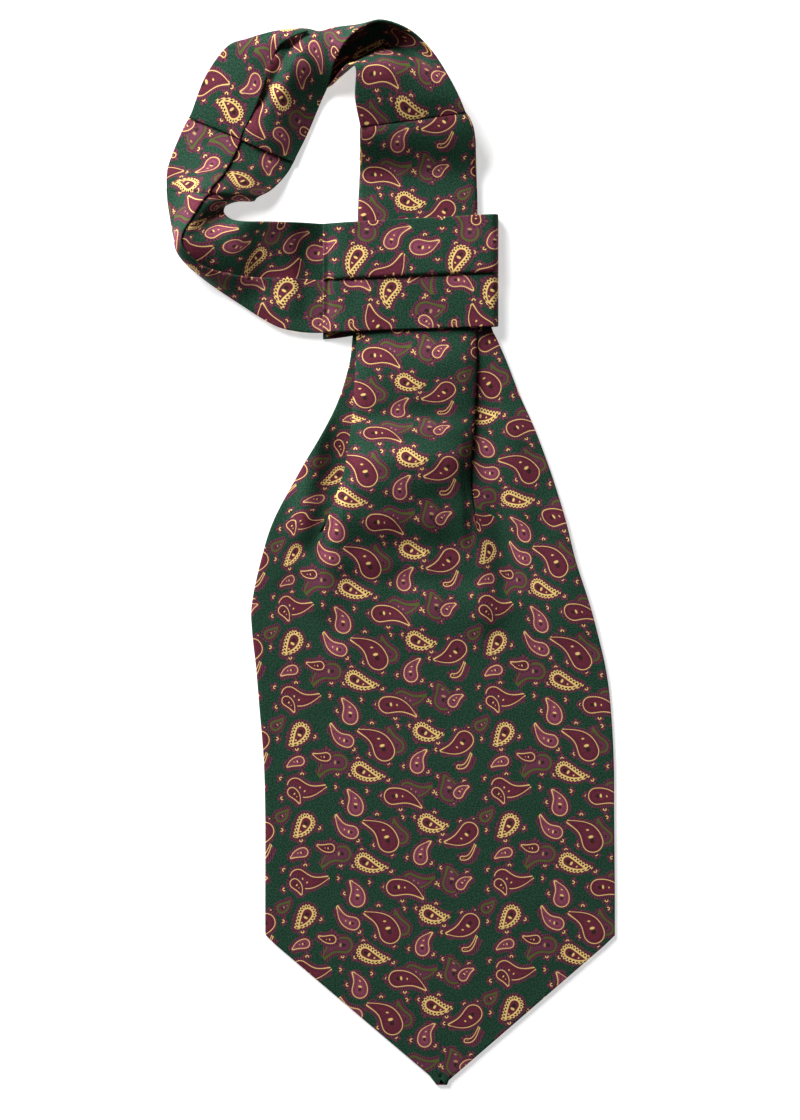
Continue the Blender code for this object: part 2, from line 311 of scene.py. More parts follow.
class Formula:
    """Makes the nodes of a formula in one node tree."""

    def __init__(self, tree: bpy.types.NodeTree) -> None:
        """Keeps the tree that the nodes go in."""
        self.tree = tree

    def node(self, kind: str, **settings: object) -> bpy.types.Node:
        """A new node of that kind with its settings made."""
        made = self.tree.nodes.new(kind)
        for name, value in settings.items():
            setattr(made, name, value)
        return made

    def feed(self, socket: Socket, value: object) -> None:
        """Links a socket to a term or another socket, or sets its value, a dye's as its colour."""
        source = value.socket if isinstance(value, Term) else value
        source = source.linear() if isinstance(source, Dye) else source
        if isinstance(source, bpy.types.NodeSocket):
            self.tree.links.new(source, socket)
        else:
            socket.default_value = source

    def math(self, operation: str, *values: Operand, clamp: bool = False) -> "Term":
        """One math node fed with the values."""
        made = self.node("ShaderNodeMath", operation=operation, use_clamp=clamp)
        for socket, value in zip(made.inputs, values):
            self.feed(socket, value)
        return Term(self, made.outputs[0])

    def vector(self, operation: str, *values: object) -> bpy.types.Node:
        """One vector math node fed with the values."""
        made = self.node("ShaderNodeVectorMath", operation=operation)
        for socket, value in zip(made.inputs, values):
            self.feed(socket, value)
        return made

    def split(self, vector: Socket) -> tuple["Term", "Term", "Term"]:
        """The three parts of a vector."""
        made = self.node("ShaderNodeSeparateXYZ")
        self.feed(made.inputs[0], vector)
        return tuple(Term(self, part) for part in made.outputs)

    def joined(self, x: Operand, y: Operand) -> Socket:
        """A vector of two parts."""
        made = self.node("ShaderNodeCombineXYZ")
        self.feed(made.inputs[0], x)
        self.feed(made.inputs[1], y)
        return made.outputs[0]

    def length(self, x: Operand, y: Operand) -> "Term":
        """The length of a vector of two parts."""
        return self.far(self.joined(x, y))

    def far(self, place: Socket) -> "Term":
        """How far a place is from the origin."""
        return Term(self, self.vector("LENGTH", place).outputs["Value"])

    def mixed(self, sockets: tuple[int, ...], values: Sequence[object], **settings: object) -> Socket:
        """One mix node: sockets are its factor, its two values and its result, values its inputs'."""
        made = self.node("ShaderNodeMix", **settings)
        for number, value in zip(sockets, values):
            self.feed(made.inputs[number], value)
        return made.outputs[sockets[-1]]

    def choose(self, share: Operand, first: object, second: object) -> Socket:
        """The first vector where share is 0 and the second where it is 1."""
        return self.mixed(VECTOR_MIX, (share, first, second), data_type="VECTOR", clamp_factor=False)

    def tint(self, share: Operand, first: object, second: object) -> Socket:
        """The first colour where share is 0 and the second where it is 1."""
        return self.mixed(COLOUR_MIX, (share, first, second), data_type="RGBA")

    def below(self, value: Operand, limit: float, blur: float) -> "Term":
        """1 where the value is below the limit and 0 above it, blurred a little between."""
        made = self.node("ShaderNodeMapRange", interpolation_type="SMOOTHSTEP")
        settings = (value, limit - blur, limit + blur, 1.0, 0.0)
        for socket, setting in zip(made.inputs, settings):
            self.feed(socket, setting)
        return Term(self, made.outputs[0])

    def noise(self, place: Socket, scale: float, detail: float = 2.0) -> "Term":
        """A noise from 0 to 1 over a place in millimetres."""
        made = self.node("ShaderNodeTexNoise", noise_dimensions="2D")
        self.feed(made.inputs["Vector"], place)
        made.inputs["Scale"].default_value = scale
        made.inputs["Detail"].default_value = detail
        return Term(self, made.outputs[0])


class Term:
    """One number of a formula, which plain arithmetic makes into math nodes."""

    def __init__(self, formula: Formula, socket: Socket) -> None:
        """Keeps the formula that it belongs to and the socket that gives it."""
        self.formula = formula
        self.socket = socket

    def __add__(self, other: Operand) -> "Term":
        """The sum."""
        return self.formula.math("ADD", self, other)

    def __sub__(self, other: Operand) -> "Term":
        """The difference."""
        return self.formula.math("SUBTRACT", self, other)

    def __mul__(self, other: Operand) -> "Term":
        """The product."""
        return self.formula.math("MULTIPLY", self, other)

    def __truediv__(self, other: Operand) -> "Term":
        """The quotient."""
        return self.formula.math("DIVIDE", self, other)

    def plus(self, factor: Operand, added: Operand) -> "Term":
        """This times a factor, with something added."""
        return self.formula.math("MULTIPLY_ADD", self, factor, added)

    def size(self) -> "Term":
        """The value without its sign."""
        return self.formula.math("ABSOLUTE", self)

    def wave(self, pitch: float) -> "Term":
        """A cosine wave of that pitch."""
        return self.formula.math("COSINE", self * (2 * math.pi / pitch))

    def below(self, limit: float, blur: float) -> "Term":
        """1 below the limit, 0 above it."""
        return self.formula.below(self, limit, blur)

    def near(self, middle: float, reach: float, blur: float) -> "Term":
        """1 within reach of the middle value, 0 beyond."""
        return (self - middle).size().below(reach, blur)


# ---- The print


@dataclass(frozen=True)
class Dye:
    """A colour of the print, as its three parts from 0 to 255 on a screen."""

    red: int
    green: int
    blue: int

    def linear(self) -> tuple[float, float, float, float]:
        """The colour as the shader wants it."""
        parts = []
        for part in (self.red, self.green, self.blue):
            share = part / 255
            parts.append(share / 12.92 if share < 0.04045 else ((share + 0.055) / 1.055) ** 2.4)
        return (*parts, 1.0)


class Dress(Enum):
    """How a paisley is dressed: the shares of pink, of olive ribbon and of beads in it."""

    MAROON = (0.0, 0.0, 0.0)
    PINK = (1.0, 0.0, 0.0)
    BEADED = (0.0, 0.0, 1.0)
    OLIVE = (0.0, 1.0, 0.0)


@dataclass(frozen=True)
class Paisley:
    """One paisley of the repeat: a round head, and a tail that tapers and curls to its tip.

    Attributes:
        head: The middle of the round head.
        tip: The tip of the tail.
        radius: The head's radius.
        curl: How far the tip has curled off the tail's first direction, to its left if above zero.
        dress: How it is dressed.
    """

    head: Point
    tip: Point
    radius: float
    curl: float
    dress: Dress

    MARGIN = 2.0
    CURL_SHARE = 0.35

    @property
    def length(self) -> float:
        """How far the tail runs in its first direction."""
        return math.sqrt(math.dist(self.head, self.tip) ** 2 - self.curl**2)

    @property
    def turn(self) -> float:
        """The angle of the tail's first direction."""
        across, up = self.tip[0] - self.head[0], self.tip[1] - self.head[1]
        return math.atan2(up, across) - math.asin(self.curl / math.hypot(across, up))

    @property
    def reach(self) -> Point:
        """Half the length and half the width of the oval that holds it and its halo."""
        half_length = (self.length + self.radius) / 2 + self.MARGIN
        half_width = self.radius + self.MARGIN + abs(self.curl) * self.CURL_SHARE
        return half_length, half_width

    @property
    def middle(self) -> Point:
        """The middle of that oval."""
        ahead = (self.length - self.radius) / 2
        aside = self.curl * self.CURL_SHARE
        across = self.head[0] + ahead * math.cos(self.turn) - aside * math.sin(self.turn)
        up = self.head[1] + ahead * math.sin(self.turn) + aside * math.cos(self.turn)
        return across, up

    @property
    def facts(self) -> tuple[Place, Place]:
        """Its length, radius and curl, and how it is dressed."""
        return (self.length, self.radius, self.curl), self.dress.value


# The repeat, as millimetres on the flat silk.
REPEAT = (93.3, 41.7)
UPPER_PAISLEYS = (
    Paisley((-50.2, -120.3), (-46.4, -117.0), 2.3, 1.4, Dress.OLIVE),
    Paisley((-38.4, -122.6), (-44.2, -129.6), 4.0, -2.0, Dress.BEADED),
    Paisley((-17.6, -127.2), (-24.8, -119.6), 2.9, -6.0, Dress.PINK),
    Paisley((-1.0, -131.6), (-12.6, -122.0), 4.7, 8.6, Dress.MAROON),
    Paisley((16.6, -122.6), (26.6, -124.2), 4.0, 4.0, Dress.BEADED),
    Paisley((13.6, -138.8), (17.8, -131.4), 3.1, -4.6, Dress.PINK),
    Paisley((36.0, -126.6), (25.0, -131.8), 4.0, -5.2, Dress.MAROON),
    Paisley((-39.9, -136.3), (-45.6, -138.8), 2.1, 1.6, Dress.PINK),
    Paisley((-27.6, -134.4), (-33.4, -133.2), 1.9, -1.6, Dress.MAROON),
    Paisley((-12.6, -140.4), (-1.6, -143.4), 3.9, 3.4, Dress.BEADED),
    Paisley((-44.0, -150.6), (-41.0, -155.4), 2.2, -1.8, Dress.MAROON),
    Paisley((-15.6, -157.8), (-18.2, -149.6), 3.5, 4.2, Dress.PINK),
    Paisley((1.6, -152.4), (14.4, -157.2), 3.7, -6.0, Dress.MAROON),
    Paisley((31.8, -151.2), (36.4, -147.9), 2.2, -2.0, Dress.PINK),
)
LOWER_PAISLEYS = (
    Paisley((5.0, -129.4), (1.6, -121.4), 3.2, -3.6, Dress.OLIVE),
    Paisley((-21.8, -137.0), (-32.8, -144.6), 3.7, 8.4, Dress.OLIVE),
    Paisley((-42.4, -147.8), (-28.0, -147.6), 3.7, 8.2, Dress.MAROON),
    Paisley((8.6, -149.0), (20.2, -147.8), 3.2, 5.6, Dress.OLIVE),
    Paisley((27.6, -150.6), (26.0, -142.8), 4.2, 3.0, Dress.OLIVE),
    Paisley((32.6, -139.0), (38.8, -132.2), 0.9, 7.2, Dress.MAROON),
)


@dataclass(frozen=True)
class Trefoil:
    """A little flower of petals round a pale crescent that opens towards its paisley.

    Attributes:
        middle: Its middle.
        opens: The direction that its crescent opens in, in degrees.
    """

    middle: Point
    opens: float

    REACH = 2.9
    SHIFT = 0.5  # how far its petals' middle lies ahead of its own
    PETALS = 5
    PETAL_OUT = 1.6  # how far out a petal's middle is
    PETAL = 0.9  # the radii of a petal, of its paler disc and of its dark eye
    DISC = 0.66
    EYE = 0.2
    HEART = 1.1  # the radius of what joins the petals
    MOUTH = 0.9  # where the petals stop, on the side that it opens on
    CRESCENT = (0.62, 0.22)  # the crescent's radius and half its width
    CRESCENT_END = 0.3
    facts = ()  # they are all drawn alike

    @property
    def turn(self) -> float:
        """The same direction in radians."""
        return math.radians(self.opens)

    @property
    def reach(self) -> Point:
        """Half the size of the square that holds it."""
        return self.REACH, self.REACH


# The middle of each trefoil across and along the silk, and the direction that it opens in.
TREFOILS = tuple(Trefoil((across, along), opens) for across, along, opens in (
    (-32.1, -125.4, 152.0), (-44.0, -124.9, 20.0), (-40.8, -131.3, 100.0), (-14.6, -131.3, 135.0),
    (-5.9, -118.7, 270.0), (-12.3, -123.7, 45.0), (-7.9, -133.0, 0.0), (0.5, -137.7, 90.0),
    (6.1, -120.2, 195.0), (20.4, -117.8, 270.0), (11.0, -120.2, 0.0), (14.2, -126.9, 70.0),
    (23.9, -128.4, 100.0), (7.2, -138.7, 350.0), (18.7, -141.5, 140.0), (-55.4, -121.7, 20.0),
    (-27.4, -131.3, 270.0), (-22.8, -142.6, 105.0), (-13.2, -134.8, 270.0), (-17.5, -142.9, 45.0),
    (0.3, -145.3, 120.0), (-49.3, -144.1, 330.0), (-39.1, -141.9, 270.0), (-23.9, -148.2, 180.0),
    (-49.3, -153.4, 10.0), (-21.6, -155.2, 10.0), (-9.7, -150.0, 180.0), (-3.5, -152.3, 0.0),
    (5.0, -158.8, 90.0), (14.2, -157.8, 90.0), (20.8, -150.5, 150.0), (22.4, -131.1, 0.0),
    (32.2, -121.9, 270.0), (44.0, -126.2, 170.0), (39.1, -136.0, 120.0), (22.6, -143.5, 20.0),
    (34.5, -145.3, 300.0), (21.6, -151.2, 0.0), (29.3, -155.6, 120.0),
))
Motif = Union[Paisley, Trefoil]

# What the look-up gives where no motif is near: a place out of reach, and some paisley's build.
FAR_AWAY = (9.0, 9.0, 0.0)
ANY_BUILD = (4.0, 1.0, 0.0)


@dataclass(frozen=True)
class Dyes:
    """The print's dyes."""

    ground: Dye = Dye(46, 81, 63)
    ground_shade: Dye = Dye(24, 53, 38)
    maroon: Dye = Dye(106, 38, 50)
    pink: Dye = Dye(150, 74, 94)
    violet: Dye = Dye(108, 62, 84)
    halo: Dye = Dye(122, 64, 82)
    halo_dark: Dye = Dye(72, 34, 50)
    olive: Dye = Dye(84, 98, 44)
    cream: Dye = Dye(246, 210, 130)
    dark: Dye = Dye(40, 40, 28)


@dataclass(frozen=True)
class Drawing:
    """How a paisley is drawn, in millimetres from its outline, or in its head's radii for its spots."""

    scallop_pitch: float = 0.95
    scallop: float = 0.18  # half the depth of the halo's scallops
    halo: float = 1.68  # how far the halo reaches
    halo_line: Place = (1.15, 0.42, 0.15)  # the halo's plain line: its middle, half its width, its blur
    scallop_edge: Point = (0.1, 0.5)  # where the halo darkens along its scallops, and how softly
    speckles: float = 0.45  # how dark the halo's speckles are
    speckle_edge: Point = (0.5, 0.08)
    olive_inset: float = 0.4  # how much tighter the halo lies round a ribbon, and round beads
    bead_inset: float = 0.3
    mottle: float = 0.6  # how strong the violet mottle of the filling is, and of a ribbon's
    olive_mottle: float = 0.5
    mottle_edge: Point = (0.47, 0.06)
    ring: Place = (-1.1, 0.22, 0.15)  # the darker ring in the filling
    ring_shade: float = 0.5
    pupil: Place = (0.12, 1.1, 0.24)  # how far ahead the dark pupil is, how flat, and its radius
    pupil_shade: float = 0.85
    pupil_blur: float = 0.06
    # each pale spark: how far ahead and aside it is, how long, and its radius
    sparks: tuple[tuple[float, ...], ...] = ((0.52, 0.02, 0.55, 0.13), (1.25, -0.04, 0.7, 0.08))
    spark_blur: float = 0.04
    olive_sparks: float = 0.6  # how much weaker the sparks are under a ribbon
    line: float = 0.19  # half the width of the outline, and how much is added for a ribbon or beads
    olive_line: float = 0.26
    bead_line: float = 0.86
    olive_depth: float = 0.42  # how far inside the outline a ribbon's or the beads' middle runs
    bead_depth: float = 0.9
    bead_pitch: float = 1.5
    bead_hole: Place = (-0.85, 0.4, 0.08)  # where the beads' dark middles lie, and the gaps between
    bead_hole_edge: Point = (0.25, 0.25)
    bead_gap: Place = (0.1, 0.4, 0.08)
    bead_gap_edge: Point = (-0.1, 0.2)
    edge: float = 0.17  # how far the whole paisley reaches past its outline
    tail: float = 0.3  # half the width of the tail at its tip


@dataclass(frozen=True)
class PrintedSilk:
    """The cravat's silk: a satin-bright green ground printed with paisleys.

    Attributes:
        name: The material's name.
        dyes: Its dyes.
        drawing: How its paisleys are drawn.
        roughness: How rough its gloss is.
        gloss: How strong its white gloss is.
        lustre: How much of its light it throws back as a soft mirror of its own colour.
        grain: The height of its weave in metres, and bump how strongly it shades.
        weave_scale: How fine the weave is, unevenness and uneven_height how broad and high its waves are.
        mottle_scale: How fine the ground's mottle is, and mottle its middle and blur.
        blur: How soft the print's lines are, in millimetres.
    """

    name: str = "printed_silk"
    dyes: Dyes = Dyes()
    drawing: Drawing = Drawing()
    roughness: float = 0.68
    gloss: float = 0.08
    lustre: float = 0.1
    grain: float = 0.00012
    bump: float = 0.35
    weave_scale: float = 1.1
    unevenness: float = 0.09
    uneven_height: float = 6.0
    mottle_scale: float = 1.6
    mottle: Point = (0.5, 0.14)
    blur: float = 0.08

    def make(self) -> bpy.types.Material:
        """The material with all its nodes."""
        material = bpy.data.materials.new(self.name)
        material.use_nodes = True
        tree = material.node_tree
        formula = Formula(tree)
        shader = tree.nodes["Principled BSDF"]
        cloth = formula.node("ShaderNodeUVMap", uv_map=CLOTH_MAP).outputs[0]
        formula.feed(shader.inputs["Base Color"], self.paint(formula, cloth))
        formula.feed(shader.inputs["Normal"], self.weave(formula, cloth))
        shader.inputs["Roughness"].default_value = self.roughness
        shader.inputs["Specular IOR Level"].default_value = self.gloss
        shader.inputs["Metallic"].default_value = self.lustre
        return material

    def weave(self, formula: Formula, cloth: Socket) -> Socket:
        """The normal of the fine weave and of the silk's slight unevenness."""
        fine = formula.noise(cloth, self.weave_scale)
        broad = formula.noise(cloth, self.unevenness, detail=1.0)
        bump = formula.node("ShaderNodeBump")
        bump.inputs["Strength"].default_value = self.bump
        bump.inputs["Distance"].default_value = self.grain
        formula.feed(bump.inputs["Height"], fine + broad * self.uneven_height)
        return bump.outputs[0]

    def paint(self, formula: Formula, cloth: Socket) -> Socket:
        """The colour of the print at each place of the cloth."""
        grain = formula.noise(cloth, self.mottle_scale)
        colour = formula.tint(grain.below(*self.mottle), self.dyes.ground_shade, self.dyes.ground)
        colour = self.paint_trefoils(formula, cloth, colour)
        for paisleys in (LOWER_PAISLEYS, UPPER_PAISLEYS):
            colour = self.paint_paisleys(formula, cloth, grain, colour, paisleys)
        return colour

    def nearest(self, formula: Formula, cloth: Socket, middle: Point) -> Socket:
        """The cloth's place moved by whole repeats to lie round a place of the repeat."""
        high = tuple(part + size / 2 for part, size in zip(middle, REPEAT))
        low = tuple(part - size / 2 for part, size in zip(middle, REPEAT))
        return formula.vector("WRAP", cloth, (*high, 0.0), (*low, 0.0)).outputs[0]

    def framed(self, formula: Formula, place: Socket, middle: Point, turn: float, reach: Point) -> Socket:
        """A place seen from a motif: from its middle, along its own directions, in its own reach."""
        made = formula.node("ShaderNodeMapping", vector_type="TEXTURE")
        formula.feed(made.inputs["Vector"], place)
        made.inputs["Location"].default_value = (*middle, 0.0)
        made.inputs["Rotation"].default_value = (0.0, 0.0, turn)
        made.inputs["Scale"].default_value = (*reach, 1.0)
        return made.outputs[0]

    def nearest_motif(
        self, formula: Formula, cloth: Socket, motifs: Sequence[Motif], far: Sequence[Place]
    ) -> list[Socket]:
        """Looks up the motif that each place of the cloth lies in.

        Args:
            formula: Where the nodes go.
            cloth: The place on the silk.
            motifs: The motifs to choose from.
            far: What to give where no motif is near.

        Returns:
            The place seen from the motif, in its own reach, and then each of the motif's facts.
        """
        best: Operand = 1.0
        found: list = list(far)
        for motif in motifs:
            place = self.nearest(formula, cloth, motif.middle)
            seen = self.framed(formula, place, motif.middle, motif.turn, motif.reach)
            away = formula.far(seen)
            closer = formula.math("LESS_THAN", away, best)
            found = [formula.choose(closer, *pair) for pair in zip(found, (seen, *motif.facts))]
            best = formula.math("MINIMUM", away, best)
        return found

    def paint_trefoils(self, formula: Formula, cloth: Socket, colour: Socket) -> Socket:
        """The colour with the trefoils over it."""
        spot = self.nearest_motif(formula, cloth, TREFOILS, (FAR_AWAY,))[0]
        x, y, _ = formula.split(spot)
        x = x * Trefoil.REACH - Trefoil.SHIFT
        y = y * Trefoil.REACH
        radius = formula.length(x, y)
        angle = formula.math("ARCTAN2", y, x * -1.0)
        half_petal = HALF_TURN / Trefoil.PETALS
        folded = formula.math("WRAP", angle, half_petal, -half_petal)
        lobe = formula.length(
            formula.math("COSINE", folded) * radius - Trefoil.PETAL_OUT,
            formula.math("SINE", folded) * radius,
        )
        dyes, blur = self.dyes, self.blur
        disc = formula.tint(lobe.below(Trefoil.DISC, blur), dyes.halo_dark, dyes.halo)
        disc = formula.tint(lobe.below(Trefoil.EYE, blur), disc, dyes.halo_dark)
        petals = lobe.below(Trefoil.PETAL, blur)
        shown = formula.math("MAXIMUM", petals, radius.below(Trefoil.HEART, blur))
        colour = formula.tint(shown * x.below(Trefoil.MOUTH, blur), colour, disc)
        crescent = radius.near(*Trefoil.CRESCENT, blur) * x.below(Trefoil.CRESCENT_END, blur)
        return formula.tint(crescent, colour, dyes.cream)

    def paint_paisleys(
        self, formula: Formula, cloth: Socket, grain: Term, colour: Socket, paisleys: Sequence[Paisley]
    ) -> Socket:
        """The colour with a layer of paisleys over it.

        Args:
            formula: Where the nodes go.
            cloth: The place on the silk.
            grain: The silk's fine noise.
            colour: The colour beneath.
            paisleys: The layer's paisleys.

        Returns:
            The new colour.
        """
        far = (FAR_AWAY, ANY_BUILD, Dress.MAROON.value)
        spot, build, dress = self.nearest_motif(formula, cloth, paisleys, far)
        length, radius, curl = formula.split(build)
        x, y, _ = formula.split(spot)
        x = x * ((length + radius) * 0.5 + Paisley.MARGIN) + (length - radius) * 0.5
        aside = curl * Paisley.CURL_SHARE
        y = y * (radius + Paisley.MARGIN + aside.size()) + aside
        share = formula.math("DIVIDE", x, length, clamp=True)
        square = share * share
        slope = square * (curl / length * 3.0)
        steep = formula.math("SQRT", slope.plus(slope, 1.0))
        beside = (y - square * share * curl) / steep
        width = radius - square * (radius - self.drawing.tail)
        depth = formula.length(x - share * length, beside) - width
        forward = formula.math("MAXIMUM", x, 0.0)
        backward = formula.math("MAXIMUM", x * -1.0, 0.0)
        rim = forward - formula.math("ARCTAN2", backward, beside.size()) * radius
        shape = (depth, rim, x / radius, beside / radius)
        return self.dress_paisley(formula, colour, grain, shape, formula.split(dress))

    def dress_paisley(
        self,
        formula: Formula,
        colour: Socket,
        grain: Term,
        shape: tuple[Term, ...],
        dress: tuple[Term, Term, Term],
    ) -> Socket:
        """Colours a paisley from its halo inwards.

        Args:
            formula: Where the nodes go.
            colour: The colour beneath.
            grain: The silk's fine noise.
            shape: The depth outside its outline, the way run round it, and the places ahead of its
                head's middle and beside its spine, in radii.
            dress: Its shares of pink, olive and beads.

        Returns:
            The new colour.
        """
        depth, rim, ahead, beside = shape
        pink, olive, beads = dress
        dyes, blur, drawn = self.dyes, self.blur, self.drawing
        scallop = rim.wave(drawn.scallop_pitch)
        edge = depth - scallop * drawn.scallop + olive * drawn.olive_inset + beads * drawn.bead_inset
        halo = formula.tint(scallop.below(*drawn.scallop_edge), dyes.halo, dyes.halo_dark)
        halo = formula.tint(edge.near(*drawn.halo_line), dyes.halo, halo)
        halo = formula.tint(grain.below(*drawn.speckle_edge) * drawn.speckles, halo, dyes.halo_dark)
        colour = formula.tint(edge.below(drawn.halo, blur), colour, halo)
        fill = formula.tint(pink, dyes.maroon, dyes.pink)
        mottle = olive * drawn.olive_mottle + grain.below(*drawn.mottle_edge) * drawn.mottle
        fill = formula.tint(mottle, fill, dyes.violet)
        fill = formula.tint(depth.near(*drawn.ring) * drawn.ring_shade, fill, dyes.halo_dark)
        place, flat, reach = drawn.pupil
        pupil = formula.length(ahead - place, beside * flat).below(reach, drawn.pupil_blur)
        fill = formula.tint(pupil * drawn.pupil_shade, fill, dyes.dark)
        sparks = [
            formula.length(ahead - place, (beside - shift) * flat).below(reach, drawn.spark_blur)
            for place, shift, flat, reach in drawn.sparks
        ]
        spark = formula.math("MAXIMUM", *sparks) * olive.plus(-drawn.olive_sparks, 1.0)
        fill = formula.tint(spark, fill, dyes.cream)
        middle = (depth + olive * drawn.olive_depth + beads * drawn.bead_depth).size()
        line = middle - olive * drawn.olive_line - beads * drawn.bead_line
        stroke = formula.tint(olive, dyes.cream, dyes.olive)
        bead = rim.wave(drawn.bead_pitch)
        hole = depth.near(*drawn.bead_hole) * bead.below(*drawn.bead_hole_edge)
        gap = depth.near(*drawn.bead_gap) * (bead * -1.0).below(*drawn.bead_gap_edge)
        stroke = formula.tint(formula.math("MAXIMUM", hole, gap) * beads, stroke, dyes.halo_dark)
        body = formula.tint(line.below(drawn.line, blur), fill, stroke)
        return formula.tint(depth.below(drawn.edge, blur), colour, body)


# ---- The pieces


@dataclass
class Panel:
    """One piece of the cravat.

    Attributes:
        name: The new piece's name.
        node: The CAD node that it stands for.
        flat: The width and length that it was cut to, in metres; not used.
        cut: The area that it was cut to, in square metres; not used.
        rests_on: What it lies on.
        half: Half the thickness of its cloth.
    """

    name: str
    node: str
    flat: Point
    cut: float
    rests_on: Sequence[str]
    half: float = 0.6

    def skin(self) -> Skin:
        """The piece's skin."""
        raise NotImplementedError

    def make(self, silk: bpy.types.Material) -> bpy.types.Object:
        """Builds the piece in its silk, hangs it from the frame's root and hides the CAD part that it stands
        for.

        Args:
            silk: The silk that it is made of.

        Returns:
            The finished piece.
        """
        piece = self.skin().build(silk)
        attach(piece, ROOT)
        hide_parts(self.node)
        list(self.rests_on)
        log.info("%s: %d faces", piece.name, len(piece.data.polygons))
        return piece


@dataclass(frozen=True)
class BladeRow:
    """One row of the blade: its edges, its pleat folds and how far it slants at the seam."""

    y: float
    left: float
    left_fold: float
    right_fold: float
    right: float
    slant: float = 0.0


BLADE_ROWS = (
    BladeRow(-155.0, -57.2, -30.1, 53.1, 102.6),
    BladeRow(-120.0, -57.2, -30.1, 52.9, 102.3),
    BladeRow(-94.5, -57.9, -30.7, 52.5, 102.1),
    BladeRow(-69.0, -60.0, -32.7, 50.8, 100.6),
    BladeRow(-52.0, -61.4, -34.2, 48.8, 98.3),
    BladeRow(-35.5, -63.2, -36.4, 45.5, 94.4),
    BladeRow(-23.0, -63.3, -36.6, 43.2, 91.0),
    BladeRow(-3.0, -59.1, -34.5, 40.0, 84.6),
    BladeRow(15.5, -53.2, -28.1, 38.2, 80.0),
    BladeRow(36.5, -41.8, -20.7, 35.9, 73.5),
    BladeRow(57.0, -29.9, -17.3, 37.5, 65.9),
    BladeRow(72.0, -23.0, -16.0, 38.2, 59.2),
    BladeRow(88.0, -18.5, -15.0, 38.7, 53.0),
    BladeRow(98.0, -17.4, -14.8, 38.7, 48.6),
    BladeRow(104.0, -16.8, -14.8, 38.7, 46.0),
    BladeRow(125.0, -16.0, -14.8, 38.7, 41.0),
    BladeRow(148.0, -15.1, -14.1, 38.8, 39.8),
    BladeRow(157.5, -14.8, -13.8, 38.8, 39.8),
    BladeRow(164.0, -14.5, -13.5, 38.7, 39.7),
    BladeRow(172.0, -14.1, -13.1, 38.4, 39.4),
    BladeRow(183.0, -13.8, -12.8, 37.9, 38.9, 2.0),
    BladeRow(189.0, -13.7, -12.7, 36.8, 37.8, 4.5),
    BladeRow(192.8, -13.6, -12.6, 34.4, 35.4, 6.0),
    BladeRow(196.8, -13.0, -12.0, 31.2, 32.2, 6.3),
)


# A pleat's fold, from under its edge to its top: how far in from its edge, how far up, and how far in
# where it lies flat.
FOLD_TURN = (
    (1.2, 0.03, -2.0), (0.5, 0.2, -1.2), (-0.05, 0.45, -0.4), (-0.2, 0.7, 0.4), (0.25, 0.93, 1.2),
    (1.2, 1.02, 2.0),
)
Column = tuple[Array, Array, Array, Array]


